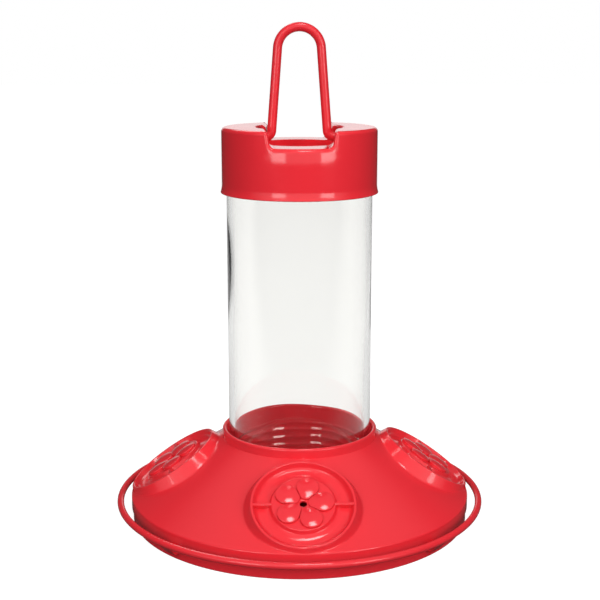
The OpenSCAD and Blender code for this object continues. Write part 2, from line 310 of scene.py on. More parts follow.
def make_studio_world():
    """White along every straight line of sight; for light and gloss a white backdrop in a dim studio."""
    world = bpy.data.worlds.new("studio_white")
    world.use_nodes = True
    tree = world.node_tree
    tree.nodes.clear()
    direction = tree.nodes.new("ShaderNodeTexCoord")
    split = tree.nodes.new("ShaderNodeSeparateXYZ")
    tree.links.new(direction.outputs["Generated"], split.inputs["Vector"])
    back = split.outputs["Y"]
    up = split.outputs["Z"]
    front = ranged(tree, back, FRONT_FADE, STUDIO_FRONT, STUDIO_SIDE)
    backdrop = ranged(tree, back, BACKDROP_FADE, 0.0, 1.0)
    above = ranged(tree, up, ABOVE_FADE, 0.0, STUDIO_TOP)
    level = chosen(tree, "MAXIMUM", chosen(tree, "MAXIMUM", front, backdrop), above)
    studio = plain_light(tree, level)
    low = ranged(tree, up, GLASS_RISE_FADE, THROUGH_GLASS, STUDIO_SIDE)
    beyond = ranged(tree, back, GLASS_BACK_FADE, STUDIO_SIDE, THROUGH_GLASS)
    through = plain_light(tree, chosen(tree, "MINIMUM", low, beyond))
    rays = tree.nodes.new("ShaderNodeLightPath")
    lit = mixed(tree, rays.outputs["Is Transmission Ray"], studio, through)
    output = tree.nodes.new("ShaderNodeOutputWorld")
    tree.links.new(mixed(tree, straight_sight(tree), lit, plain_light(tree)), output.inputs["Surface"])
    bpy.context.scene.world = world


def straight_sight(tree):
    """1 for what the camera sees directly or straight through glass, and 0 for reflections and light."""
    rays = tree.nodes.new("ShaderNodeLightPath")
    same = tree.nodes.new("ShaderNodeMath")
    same.operation = "COMPARE"
    same.inputs[2].default_value = 0.5
    tree.links.new(rays.outputs["Ray Depth"], same.inputs[0])
    tree.links.new(rays.outputs["Transmission Depth"], same.inputs[1])
    return chosen(tree, "MAXIMUM", same.outputs[0], rays.outputs["Is Camera Ray"])


def chosen(tree, operation, one, two):
    """The higher (MAXIMUM) or the lower (MINIMUM) of two values."""
    node = tree.nodes.new("ShaderNodeMath")
    node.operation = operation
    tree.links.new(one, node.inputs[0])
    tree.links.new(two, node.inputs[1])
    return node.outputs[0]


def mixed(tree, factor, one, two):
    """The first shader where the factor is 0, and the second where it is 1."""
    node = tree.nodes.new("ShaderNodeMixShader")
    tree.links.new(factor, node.inputs["Fac"])
    tree.links.new(one, node.inputs[1])
    tree.links.new(two, node.inputs[2])
    return node.outputs[0]


def ranged(tree, value, fade, start, end, kind="SMOOTHSTEP"):
    """A value that goes from start to end while another one goes through the fade."""
    node = tree.nodes.new("ShaderNodeMapRange")
    node.interpolation_type = kind
    node.inputs["From Min"].default_value = fade[0]
    node.inputs["From Max"].default_value = fade[1]
    node.inputs["To Min"].default_value = start
    node.inputs["To Max"].default_value = end
    tree.links.new(value, node.inputs["Value"])
    return node.outputs["Result"]


def plain_light(tree, strength=None):
    """White light from the world, at full strength or at that of a node."""
    node = tree.nodes.new("ShaderNodeBackground")
    node.inputs["Color"].default_value = WHITE
    node.inputs["Strength"].default_value = 1.0
    if strength is not None:
        tree.links.new(strength, node.inputs["Strength"])
    return node.outputs[0]


def make_floor():
    """A wide floor: it clips to white for the eye, and is dark in front of the feeder for light and gloss."""
    material, tree = new_material("pale_floor")
    tree.nodes.clear()
    pale = tree.nodes.new("ShaderNodeBsdfDiffuse")
    pale.inputs["Color"].default_value = (FLOOR_SEEN, FLOOR_SEEN, FLOOR_SEEN, 1.0)
    glow = tree.nodes.new("ShaderNodeEmission")
    glow.inputs["Color"].default_value = WHITE
    glow.inputs["Strength"].default_value = FLOOR_LIFT
    seen = tree.nodes.new("ShaderNodeAddShader")
    tree.links.new(pale.outputs[0], seen.inputs[0])
    tree.links.new(glow.outputs[0], seen.inputs[1])
    place = tree.nodes.new("ShaderNodeNewGeometry")
    split = tree.nodes.new("ShaderNodeSeparateXYZ")
    tree.links.new(place.outputs["Position"], split.inputs["Vector"])
    back = split.outputs["Y"]
    aside = tree.nodes.new("ShaderNodeMath")
    aside.operation = "ABSOLUTE"
    tree.links.new(split.outputs["X"], aside.inputs[0])
    behind = ranged(tree, back, FLOOR_BACK_FADE, FLOOR_FRONT, FLOOR_BACK)
    beside = ranged(tree, aside.outputs[0], FLOOR_ASIDE_FADE, FLOOR_BACK, FLOOR_FRONT)
    table = tree.nodes.new("ShaderNodeBsdfDiffuse")
    tree.links.new(chosen(tree, "MINIMUM", behind, beside), table.inputs["Color"])
    through = tree.nodes.new("ShaderNodeEmission")
    bent = ranged(tree, back, FLOOR_GLASS_FADE, STUDIO_SIDE, THROUGH_GLASS)
    tree.links.new(bent, through.inputs["Strength"])
    rays = tree.nodes.new("ShaderNodeLightPath")
    lit = mixed(tree, rays.outputs["Is Transmission Ray"], table.outputs[0], through.outputs[0])
    output = tree.nodes.new("ShaderNodeOutputMaterial")
    tree.links.new(mixed(tree, straight_sight(tree), lit, seen.outputs[0]), output.inputs["Surface"])
    bm = bmesh.new()
    bmesh.ops.create_grid(bm, x_segments=1, y_segments=1, size=FLOOR_SIZE)
    floor = as_object(bm, "floor")
    floor.data.materials.append(material)


# Finishes

def new_material(name):
    """A new material and its node tree."""
    material = bpy.data.materials.new(name)
    material.use_nodes = True
    return material, material.node_tree


def noise(tree, coordinates, scale, detail):
    """One noise pattern on the piece's own coordinates."""
    node = tree.nodes.new("ShaderNodeTexNoise")
    node.inputs["Scale"].default_value = scale
    node.inputs["Detail"].default_value = detail
    tree.links.new(coordinates.outputs["Object"], node.inputs["Vector"])
    return node.outputs["Fac"]


def toned(tree, factor, one, two):
    """A colour between two, as a factor says."""
    node = tree.nodes.new("ShaderNodeMix")
    node.data_type = "RGBA"
    node.inputs["A"].default_value = (*one, 1.0)
    node.inputs["B"].default_value = (*two, 1.0)
    tree.links.new(factor, node.inputs["Factor"])
    return node.outputs["Result"]


def bump(tree, height, strength, distance):
    """Lets the surface rise and fall with a height, by a distance in metres."""
    node = tree.nodes.new("ShaderNodeBump")
    node.inputs["Strength"].default_value = strength
    node.inputs["Distance"].default_value = distance
    tree.links.new(height, node.inputs["Height"])
    return node


def moulded_plastic(name, light, dark, rough_low, rough_high, grain):
    """Coloured plastic with faint flow marks, uneven gloss and a very fine skin texture."""
    material, tree = new_material(name)
    shader = tree.nodes["Principled BSDF"]
    shader.inputs["IOR"].default_value = PLASTIC_IOR
    coordinates = tree.nodes.new("ShaderNodeTexCoord")
    flow = noise(tree, coordinates, 38.0, 2.0)
    tree.links.new(toned(tree, flow, dark, light), shader.inputs["Base Color"])
    patches = noise(tree, coordinates, 90.0, 3.0)
    gloss = ranged(tree, patches, NOISE_RANGE, rough_low, rough_high, "LINEAR")
    tree.links.new(gloss, shader.inputs["Roughness"])
    skin = bump(tree, noise(tree, coordinates, 2600.0, 2.0), grain, 0.00001)
    sag = bump(tree, noise(tree, coordinates, 55.0, 1.0), 0.4, 0.0002)
    tree.links.new(skin.outputs["Normal"], sag.inputs["Normal"])
    tree.links.new(sag.outputs["Normal"], shader.inputs["Normal"])
    return material


def clear_glass():
    """Clear pressed glass: smooth, with slow waves in the surface, and open to the lamps' light."""
    material, tree = new_material("clear_glass")
    shader = tree.nodes["Principled BSDF"]
    shader.inputs["Base Color"].default_value = GLASS_TINT
    shader.inputs["Transmission Weight"].default_value = 1.0
    shader.inputs["IOR"].default_value = GLASS_IOR
    coordinates = tree.nodes.new("ShaderNodeTexCoord")
    smear = noise(tree, coordinates, 40.0, 2.0)
    polish = ranged(tree, smear, (0.0, 1.0), 0.0, GLASS_ROUGHNESS, "LINEAR")
    tree.links.new(polish, shader.inputs["Roughness"])
    ripple = bump(tree, noise(tree, coordinates, 22.0, 1.0), 0.2, 0.0005)
    tree.links.new(ripple.outputs["Normal"], shader.inputs["Normal"])
    rays = tree.nodes.new("ShaderNodeLightPath")
    shadow = tree.nodes.new("ShaderNodeBsdfTransparent")
    shadow.inputs["Color"].default_value = GLASS_SHADOW
    glass = mixed(tree, rays.outputs["Is Shadow Ray"], shader.outputs[0], shadow.outputs[0])
    tree.links.new(glass, tree.nodes["Material Output"].inputs["Surface"])
    return material


def soft_seal():
    """Pale matt sealing rubber."""
    material, tree = new_material("soft_seal")
    shader = tree.nodes["Principled BSDF"]
    shader.inputs["Roughness"].default_value = SEAL_ROUGHNESS
    coordinates = tree.nodes.new("ShaderNodeTexCoord")
    dust = noise(tree, coordinates, 300.0, 3.0)
    tree.links.new(toned(tree, dust, *SEAL_TONES), shader.inputs["Base Color"])
    grain = bump(tree, dust, 0.2, 0.00005)
    tree.links.new(grain.outputs["Normal"], shader.inputs["Normal"])
    return material


# Shaping

def outline(corners, longest, arc_steps=6):
    """A wire in the XZ plane through corners of (radius, height, rounding) in millimetres.

    The wire is closed unless both of its ends are on the axis. Each straight stretch is cut into
    pieces no longer than the longest.
    """
    bm = bmesh.new()
    verts = [bm.verts.new((r * MM, 0.0, z * MM)) for r, z, _ in corners]
    on_axis = corners[0][0] == 0 and corners[-1][0] == 0
    pairs = list(zip(verts, verts[1:]))
    if not on_axis:
        pairs.append((verts[-1], verts[0]))
    for start, end in pairs:
        bm.edges.new((start, end))
    bends = []
    for vert, (_, _, rounding) in zip(verts, corners):
        if not rounding:
            continue
        one, two = [edge.other_vert(vert).co - vert.co for edge in vert.link_edges]
        bends.append((vert, rounding * MM / math.tan(one.angle(two) / 2)))
    for vert, reach in bends:
        bmesh.ops.bevel(bm, geom=[vert], offset=reach, offset_type="OFFSET", affect="VERTICES",
                        segments=arc_steps, profile=0.5, material=-1)
    cut_long_edges(bm, longest)
    return bm


def upright_cylinder(radius, low, high, sides):
    """A closed cylinder on the Z axis with plain round ends."""
    bm = bmesh.new()
    bmesh.ops.create_cone(bm, cap_ends=True, cap_tris=False, segments=sides,
                          radius1=radius * MM, radius2=radius * MM, depth=(high - low) * MM)
    bmesh.ops.translate(bm, verts=bm.verts[:], vec=(0, 0, (low + high) / 2 * MM))
    return bm


def cut_long_edges(bm, longest):
    """Cuts each edge into equal pieces no longer than the longest."""
    for edge in list(bm.edges):
        cuts = math.ceil(edge.calc_length() / (longest * MM) - 0.01) - 1
        if cuts > 0:
            bmesh.ops.subdivide_edges(bm, edges=[edge], cuts=cuts)


def spin_round(bm, steps):
    """Spins a wire round the Z axis into a closed skin whose faces point outwards."""
    bmesh.ops.spin(bm, geom=bm.verts[:] + bm.edges[:], cent=(0, 0, 0), axis=(0, 0, 1),
                   angle=2 * math.pi, steps=steps, use_merge=True)
    bmesh.ops.remove_doubles(bm, verts=bm.verts[:], dist=1e-7)
    bmesh.ops.recalc_face_normals(bm, faces=bm.faces[:])


def as_object(bm, name):
    """Hands a bmesh over to a new object in the scene."""
    mesh = bpy.data.meshes.new(name)
    bm.to_mesh(mesh)
    bm.free()
    thing = bpy.data.objects.new(name, mesh)
    bpy.context.scene.collection.objects.link(thing)
    return thing


def discard(thing):
    """Removes an object and its mesh."""
    mesh = thing.data
    bpy.data.objects.remove(thing)
    bpy.data.meshes.remove(mesh)


def as_bmesh(thing):
    """Takes an object's mesh back into a bmesh, and removes the object."""
    bm = bmesh.new()
    bm.from_mesh(thing.data)
    discard(thing)
    return bm


def add_copy(target, source, place=None):
    """Adds the faces of one bmesh to another, moved by a matrix."""
    mesh = bpy.data.meshes.new("copy")
    source.to_mesh(mesh)
    if place is not None:
        mesh.transform(place)
    target.from_mesh(mesh)
    bpy.data.meshes.remove(mesh)


def cut_away(thing, cutters):
    """Cuts closed bodies out of an object with exact Booleans, and removes the bodies."""
    for cutter in cutters:
        boolean = thing.modifiers.new("cut", "BOOLEAN")
        boolean.operation = "DIFFERENCE"
        boolean.solver = "EXACT"
        boolean.object = cutter
    graph = bpy.context.evaluated_depsgraph_get()
    mesh = bpy.data.meshes.new_from_object(thing.evaluated_get(graph))
    thing.modifiers.clear()
    old = thing.data
    thing.data = mesh
    bpy.data.meshes.remove(old)
    for cutter in cutters:
        discard(cutter)


def finish_piece(bm, name, material, body, node, crease=35.0):
    """Makes the piece: smooth faces, sharp creases, its finish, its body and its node."""
    sharp = math.radians(crease)
    for face in bm.faces:
        face.smooth = True
    for edge in bm.edges:
        edge.smooth = edge.is_manifold and edge.calc_face_angle(0.0) < sharp
    piece = as_object(bm, name)
    piece.data.materials.append(material)
    even = piece.modifiers.new("even_shading", "WEIGHTED_NORMAL")
    even.keep_sharp = True
    even.weight = SHADING_WEIGHT
    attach(piece, body)
    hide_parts(node)
    return piece


def smooth_max(a, b, width):
    """The higher of two heights, with a fillet where they meet."""
    near = max(width - abs(a - b), 0.0) / width
    return max(a, b) + near * near * width / 4


def smooth_min(a, b, width):
    """The lower of two heights, with a rounded edge where they meet."""
    return -smooth_max(-a, -b, width)


def ramp(value, low, high):
    """0 below low, 1 above high, and smooth in between."""
    t = min(max((value - low) / (high - low), 0.0), 1.0)
    return t * t * (3 - 2 * t)


# Basin with its perch ring

def make_basin(material):
    """Shallow dish with foot ring, ledge and inner rim, a perch ring and the webs that carry it."""
    bm = outline([
        (0, FOOT_H, 0),
        (BASIN_R - FOOT_W, FOOT_H, 0.3),
        (BASIN_R - FOOT_W + FOOT_DRAFT, 0, 0.3),
        (BASIN_R, 0, 0.7),
        (BASIN_R, LEDGE_H, 0.3),
        (BASIN_RIM_R, LEDGE_H, 0.2),
        (BASIN_RIM_R, BASIN_RIM_H, 0.6),
        (BASIN_BORE_R, BASIN_RIM_H, 0.6),
        (BASIN_BORE_R, BASIN_FLOOR_H, 3.0),
        (0, BASIN_FLOOR_H, 0),
    ], longest=9.0, arc_steps=5)
    spin_round(bm, BASIN_STEPS)
    ring = bmesh.new()
    bmesh.ops.create_circle(ring, segments=WIRE_SIDES, radius=PERCH_T / 2 * MM)
    upright = Matrix.Rotation(QUARTER, 3, "X")
    bmesh.ops.rotate(ring, verts=ring.verts[:], cent=(0, 0, 0), matrix=upright)
    bmesh.ops.translate(ring, verts=ring.verts[:], vec=(PERCH_R * MM, 0, PERCH_H * MM))
    spin_round(ring, PERCH_STEPS)
    add_copy(bm, ring)
    ring.free()
    web = perch_web()
    for i in range(WEB_COUNT):
        add_copy(bm, web, Matrix.Rotation((i + 0.5) * 2 * math.pi / WEB_COUNT, 4, "Z"))
    web.free()
    return finish_piece(bm, "basin_and_perch", material, "base", "basin")


def perch_web():
    """One web: a flat bar that leaves the basin's wall and bends up into the ring."""
    low = WEB_TOP - WEB_T
    root = BASIN_R - 1
    side = [
        (root, low),
        (WEB_BEND_R + WEB_T / 2, low),
        (PERCH_R + PERCH_T / 4, PERCH_H - PERCH_T / 4),
        (PERCH_R - PERCH_T / 4, PERCH_H),
        (WEB_BEND_R, WEB_TOP),
        (root, WEB_TOP),
    ]
    bm = bmesh.new()
    face = bm.faces.new([bm.verts.new((x * MM, -WEB_W / 2 * MM, z * MM)) for x, z in side])
    swept = bmesh.ops.extrude_face_region(bm, geom=[face])
    moved = [item for item in swept["geom"] if isinstance(item, bmesh.types.BMVert)]
    bmesh.ops.translate(bm, verts=moved, vec=(0, WEB_W * MM, 0))
    bmesh.ops.recalc_face_normals(bm, faces=bm.faces[:])
    bmesh.ops.bevel(bm, geom=bm.edges[:], offset=WEB_ROUND * MM, offset_type="OFFSET",
                    affect="EDGES", segments=3, profile=0.5, material=-1, clamp_overlap=True)
    return bm


# Cover with its socket and flower ports

def ridge_height(angle, height, phase, width):
    """Height of a right-handed helical ridge at an angle and a height, from 0 to 1."""
    turns = (height - THREAD_LOW) / THREAD_PITCH - angle / (2 * math.pi) - phase
    off = (turns - round(turns)) * THREAD_PITCH
    begun = ramp(height, THREAD_LOW - THREAD_FADE, THREAD_LOW + THREAD_FADE)
    ended = ramp(height, THREAD_HIGH - THREAD_FADE, THREAD_HIGH + THREAD_FADE)
    return math.exp(-((off / width) ** 2)) * (begun * (1 - ended))


def cut_upright(bm, radius, top, cuts):
    """Cuts the upright edges of a wire at a radius and below a height, for the thread's ridges."""
    wall = [edge for edge in bm.edges
            if all(abs(v.co.x - radius * MM) < 1e-6 and v.co.z < top * MM for v in edge.verts)]
    for edge in wall:
        bmesh.ops.subdivide_edges(bm, edges=[edge], cuts=cuts)


def cover_shell():
    """The cone, skirt, collar, socket and stop ring as one skin, with windows under the ports."""
    bm = outline([
        (SKIRT_R, LEDGE_H, 0.5),
        (SKIRT_R, CONE_LOW_H - (SKIRT_R - CONE_LOW_R) * CONE_SLOPE, 0.9),
        (COLLAR_R, CONE_TOP_H, 0),
        (COLLAR_R, COLLAR_H, 0.98),
        (SOCKET_R, COLLAR_H, 0.98),
        (SOCKET_R, STOP_TOP, 0),
        (STOP_R, STOP_TOP, 0.3),
        (STOP_R, SOCKET_LOW_H, 0.3),
        (COLLAR_R, SOCKET_LOW_H, 0.5),
        (COLLAR_R, CONE_TOP_H - CONE_FALL, 0.8),
        (SKIRT_BORE_R, CONE_LOW_H + (CONE_LOW_R - SKIRT_BORE_R) * CONE_SLOPE - CONE_FALL, 0.8),
        (SKIRT_BORE_R, LEDGE_H, 0.4),
    ], longest=1.6)
    cut_upright(bm, SOCKET_R, COLLAR_H, 3)
    spin_round(bm, COVER_STEPS)
    for vert in bm.verts:
        x, y, z = vert.co / MM
        radius = math.hypot(x, y)
        if abs(radius - SOCKET_R) < 0.01 and STOP_TOP < z < COLLAR_H - 1:
            ridge = ridge_height(math.atan2(y, x), z, 0.5, SOCKET_RIDGE_W)
            shrink = (radius - SOCKET_RIDGE * ridge) / radius
            vert.co.x *= shrink
            vert.co.y *= shrink
    shell = as_object(bm, "shell")
    cutters = []
    for place in port_places():
        cutter = upright_cylinder(WINDOW_R, WINDOW_LOW, WINDOW_HIGH, WINDOW_STEPS)
        bmesh.ops.transform(cutter, matrix=place, verts=cutter.verts[:])
        cutters.append(as_object(cutter, "window"))
    cut_away(shell, cutters)
    return as_bmesh(shell)


def port_places():
    """Places of the ports: Z along each feed hole, X down the cone."""
    tilt = Matrix.Rotation(PORT_TILT, 4, "Y")
    stand = Matrix.Translation((PORT_AT * MM, 0, PORT_H * MM))
    return [Matrix.Rotation(i * 2 * math.pi / PORT_COUNT, 4, "Z") @ stand @ tilt
            for i in range(PORT_COUNT)]


def cone_depth(x, y):
    """Height of the cone's face over a port's plane, at a point of that plane, found step by step."""
    w = -TROUGH_DEPTH
    for _ in range(8):
        reach = PORT_AT + x * math.cos(PORT_TILT) + w * math.sin(PORT_TILT)
        height = PORT_H - x * math.sin(PORT_TILT) + w * math.cos(PORT_TILT)
        radius = math.hypot(reach, y)
        above = height - (CONE_LOW_H + (CONE_LOW_R - radius) * CONE_SLOPE)
        w -= above * math.cos(CONE_ANGLE)
    return w


def skirt_depth(x, y):
    """Height of the skirt's upright face over a port's plane, at a point of that plane."""
    reach = math.sqrt(SKIRT_R ** 2 - y ** 2)
    return (reach - PORT_AT - x * math.cos(PORT_TILT)) / math.sin(PORT_TILT)


def cover_depth(x, y, wall):
    """Height over a port's plane of a wall that runs out into the cone and the skirt."""
    on_cone = smooth_max(wall, cone_depth(x, y), FOOT_BLEND)
    return smooth_min(on_cone, skirt_depth(x, y), SKIRT_BLEND)


def port_shell():
    """One port without its petals: rim, trough, island, feed hole and the foot on the cone."""
    under = -30.0
    foot_r = PORT_R + PORT_FOOT * PORT_FLARE
    bm = outline([
        (PORT_R, 0, 0.45),
        (TROUGH_R, 0, 0.45),
        (TROUGH_R - TROUGH_DRAFT, -TROUGH_DEPTH, TROUGH_BEND),
        (ISLAND_R + APRON_W, -TROUGH_DEPTH, APRON_BEND),
        (ISLAND_R + ISLAND_DRAFT, APRON_RISE - TROUGH_DEPTH, 1.0),
        (ISLAND_R, -ISLAND_DROP, 0.5),
        (FEED_R, -ISLAND_DROP, 0.35),
        (FEED_R, -ISLAND_DROP - PORT_SKIN, 0.2),
        (ISLAND_R - 2, -ISLAND_DROP - PORT_SKIN, 0.2),
        (ISLAND_R - 2, -TROUGH_DEPTH - PORT_SKIN, 0.2),
        (TROUGH_R - 2, -TROUGH_DEPTH - PORT_SKIN, 0),
        (TROUGH_R, under, 0),
        (foot_r - 0.1, under, 0),
        (foot_r, -PORT_FOOT, 0),
    ], longest=UNCUT, arc_steps=5)
    for edge in list(bm.edges):
        middle = (edge.verts[0].co + edge.verts[1].co) / 2 / MM
        lowest = min(v.co.z for v in edge.verts) / MM
        if middle.x > PORT_R and lowest > -PORT_FOOT - 0.1:
            step = FOOT_STEP
        elif lowest > -TROUGH_DEPTH - 2:
            step = TROUGH_STEP
        else:
            continue
        cuts = math.ceil(edge.calc_length() / (step * MM)) - 1
        if cuts > 0:
            bmesh.ops.subdivide_edges(bm, edges=[edge], cuts=cuts)
    spin_round(bm, PORT_STEPS)
    for vert in bm.verts:
        x, y, w = vert.co / MM
        radius = math.hypot(x, y)
        if w < under + 1:
            w = cover_depth(x, y, FAR_BELOW) - 1.0
        elif radius > PORT_R - 0.7:
            tuck = FOOT_TUCK * ramp(radius, foot_r - FOOT_TUCK_W, foot_r)
            w = cover_depth(x, y, w) + FOOT_PROUD - tuck
        vert.co.z = w * MM
    bmesh.ops.recalc_face_normals(bm, faces=bm.faces[:])
    return bm


def trough_ribs():
    """The two thin ribs that cross the trough, level along the cone."""
    bm = bmesh.new()
    length = TROUGH_R - ISLAND_R + 2 * RIB_BITE
    tall = TROUGH_DEPTH - RIB_DROP + RIB_ROOT
    for side in (-1, 1):
        rib = bmesh.new()
        bmesh.ops.create_cube(rib, size=1.0)
        bmesh.ops.scale(rib, verts=rib.verts[:], vec=(RIB_T * MM, length * MM, tall * MM))
        bmesh.ops.bevel(rib, geom=rib.edges[:], offset=RIB_ROUND * MM, offset_type="OFFSET",
                        affect="EDGES", segments=4, profile=0.5, material=-1)
        middle = (0, side * (TROUGH_R + ISLAND_R) / 2 * MM, (-RIB_DROP - tall / 2) * MM)
        add_copy(bm, rib, Matrix.Translation(middle))
        rib.free()
    return bm


def petal():
    """One pillow-shaped petal, drawn out to a blunt tip at the feed hole."""
    shoulder = (PETAL_RISE - PETAL_EDGE) / PETAL_R ** 2
    rings = [PETAL_R * i / PETAL_RINGS for i in range(PETAL_RINGS + 1)]
    dome = [(r, PETAL_RISE - shoulder * r * r, 0.35 if r == PETAL_R else 0) for r in rings]
    root = [(PETAL_R, -PETAL_ROOT, 0), (0, -PETAL_ROOT, 0)]
    bm = outline(dome + root, longest=2.0, arc_steps=5)
    spin_round(bm, PETAL_STEPS)
    flank = math.acos(PETAL_R / PETAL_AT)
    tip = (PETAL_AT - PETAL_TIP) / PETAL_R
    for vert in bm.verts:
        radius = math.hypot(vert.co.x, vert.co.y)
        if radius < 1e-7:
            continue
        angle = abs(math.atan2(vert.co.y, vert.co.x))
        pull = 1.0
        if angle < flank:
            pull = max(smooth_min(1 / math.cos(flank - angle), tip, PETAL_TIP_BLEND), 1.0)
        vert.co.x *= pull
        vert.co.y *= pull
        vert.co.z -= (pull - 1) * PETAL_DROOP * MM * (radius / (PETAL_R * MM)) ** 2
    bmesh.ops.recalc_face_normals(bm, faces=bm.faces[:])
    return bm


def make_cover(material):
    """The cover: shell, four ports, their ribs and flowers."""
    bm = cover_shell()
    port = port_shell()
    ribs = trough_ribs()
    add_copy(port, ribs)
    ribs.free()
    one = petal()
    for i in range(PETAL_COUNT):
        turn = Matrix.Rotation(math.radians(FLOWER_TURN + i * 360 / PETAL_COUNT), 4, "Z")
        seat = Matrix.Translation((-PETAL_AT * MM, 0, -ISLAND_DROP * MM))
        add_copy(port, one, turn @ seat)
    one.free()
    for place in port_places():
        add_copy(bm, port, place)
    port.free()
    return finish_piece(bm, "cover_with_ports", material, "cover", "cover")


# Jar and seal

def make_jar(material):
    """The glass: a straight wall, a threaded neck, rounded shoulders and a hollow in the closed end."""
    stand_r = JAR_R - JAR_CORNER
    inside_top = JAR_TOP_H - (JAR_R - JAR_BORE_R)
    bm = outline([
        (0, JAR_TOP_H - PUSH_UP, 0),
        (stand_r - 2 * STANDING_W, JAR_TOP_H - PUSH_UP, 2),
        (stand_r - STANDING_W, JAR_TOP_H, 2),
        (JAR_R, JAR_TOP_H, JAR_CORNER),
        (JAR_R, JAR_MOUTH_H, 1.3),
        (JAR_BORE_R, JAR_MOUTH_H, 1.3),
        (JAR_BORE_R, inside_top, 5.5),
        (stand_r - STANDING_W - 0.5, inside_top, 2),
        (stand_r - 2 * STANDING_W, inside_top - PUSH_UP, 2),
        (0, inside_top - PUSH_UP, 0),
    ], longest=4.0, arc_steps=7)
    cut_upright(bm, JAR_R, NECK_TOP, 8)
    spin_round(bm, JAR_STEPS)
    for vert in bm.verts:
        x, y, z = vert.co / MM
        radius = math.hypot(x, y)
        if radius < JAR_BORE_R - 0.01:
            continue
        angle = math.atan2(y, x)
        outside = radius > JAR_R - 0.01
        body = ramp(z, *WAVE_START) * (1 - ramp(z, *WAVE_END))
        # Two slow waves that never line up, as in pressed glass
        wave = math.sin(3 * angle + z / 23) + 0.6 * math.sin(5 * angle - z / 14 + 1.7)
        sway = (WAVE_OUTSIDE if outside else WAVE_INSIDE) * wave * body
        ridge = NECK_RIDGE * ridge_height(angle, z, 0.0, NECK_RIDGE_W) if outside else 0.0
        grow = (radius + sway + ridge) / radius
        vert.co.x *= grow
        vert.co.y *= grow
    return finish_piece(bm, "glass_jar", material, "jar", "jar", crease=50.0)


def make_seal(material):
    """Soft washer between the stop ring and the jar's mouth."""
    bm = outline([
        (SEAL_R, STOP_TOP, 0.4),
        (SEAL_R, JAR_MOUTH_H, 0.4),
        (SEAL_BORE_R, JAR_MOUTH_H, 0.4),
        (SEAL_BORE_R, STOP_TOP, 0.4),
    ], longest=3.0, arc_steps=4)
    spin_round(bm, SEAL_STEPS)
    return finish_piece(bm, "sealing_washer", material, "seal", "jar_seal")


# Cap

def channel_body(skin, side):
    """The room over one channel, from the well out through the wall, grown by a skin."""
    half = CHANNEL_HALF + skin
    low = NOTCH_H - skin
    far = (CAP_LOW_R + PAST if skin == 0 else CAP_BORE_R + skin / 2) * MM
    near = WELL_R / 2 * MM
    bm = bmesh.new()
    splayed = half + NOTCH_SPLAY
    corners = [(-splayed, NOTCH_SPLAY_H), (-half, low), (half, low), (splayed, NOTCH_SPLAY_H)]
    verts = [bm.verts.new((x * MM, near, z * MM)) for x, z in corners]
    bm.faces.new(verts)
    bmesh.ops.bevel(bm, geom=verts[1:3], offset=NOTCH_CORNER * MM, offset_type="OFFSET",
                    affect="VERTICES", segments=6, profile=0.5, material=-1)
    swept = bmesh.ops.extrude_face_region(bm, geom=bm.faces[:])
    moved = [item for item in swept["geom"] if isinstance(item, bmesh.types.BMVert)]
    bmesh.ops.translate(bm, verts=moved, vec=(0, far - near, 0))
    for vert in bm.verts:
        back = (far - vert.co.y) / (far - near)
        vert.co.x *= 1 + back * CHANNEL_FLARE / half
    bmesh.ops.recalc_face_normals(bm, faces=bm.faces[:])
    turn = Matrix.Rotation(QUARTER - side * QUARTER, 4, "Z")
    bmesh.ops.transform(bm, matrix=turn, verts=bm.verts[:])
    return bm


def cap_body():
    """The cap's outside without its hollows: an upright wall that flares at the bottom.

    Its steps are turned by half of one, which keeps them off the corners of the notches.
    """
    wide = CAP_LOW_R - CAP_TOP_R
    flare = [((1 - i / FLARE_LOOPS) ** 2, CAP_LOW_H + CAP_FLARE_H * i / FLARE_LOOPS)
             for i in range(FLARE_LOOPS + 1)]
    wall = [(CAP_TOP_R + wide * out, z, 0.5 if out == 1 else 0) for out, z in flare]
    dip = [(CAP_TOP_R, NOTCH_H - DIP_TOP - i * DIP_STEP, 0) for i in reversed(range(DIP_LOOPS))]
    top = [(CAP_TOP_R, CAP_TOP_H, 0), (0, CAP_TOP_H, 0)]
    bm = outline([(0, CAP_LOW_H, 0)] + wall + dip + top, longest=UNCUT)
    spin_round(bm, CAP_STEPS)
    half_step = Matrix.Rotation(math.pi / CAP_STEPS, 3, "Z")
    bmesh.ops.rotate(bm, verts=bm.verts[:], cent=(0, 0, 0), matrix=half_step)
    return bm


def soften_notch_lip(bm):
    """Lets the outer wall fall back gently under each notch."""
    for vert in bm.verts:
        x, y, z = vert.co / MM
        radius = math.hypot(x, y)
        if radius < CAP_BORE_R + 0.6:
            continue
        rise = ramp(z, DIP_LOW_H, NOTCH_H + 1) ** 2
        inside = 1 - ramp(abs(x), CHANNEL_HALF - 1, CHANNEL_HALF + 6)
        shrink = 1 - DIP_DEPTH * rise * inside / radius
        vert.co.x *= shrink
        vert.co.y *= shrink


def cap_rib(angle):
    """One radial rib inside the cap, from the well's wall to the outer wall."""
    length = CAP_BORE_R - WELL_R - 0.5
    under_channel = abs(math.sin(angle)) > math.sin(QUARTER / 2)
    top = (NOTCH_H if under_channel else CAP_TOP_H) - CAP_WALL + 0.5
    tall = top - JAR_TOP_H
    rib = bmesh.new()
    bmesh.ops.create_cube(rib, size=1.0)
    bmesh.ops.scale(rib, verts=rib.verts[:], vec=(length * MM, CAP_RIB_T * MM, tall * MM))
    middle = Vector((WELL_R + 1 + length / 2, 0, JAR_TOP_H + tall / 2)) * MM
    place = Matrix.Rotation(angle, 4, "Z") @ Matrix.Translation(middle)
    bmesh.ops.transform(rib, matrix=place, verts=rib.verts[:])
    return rib


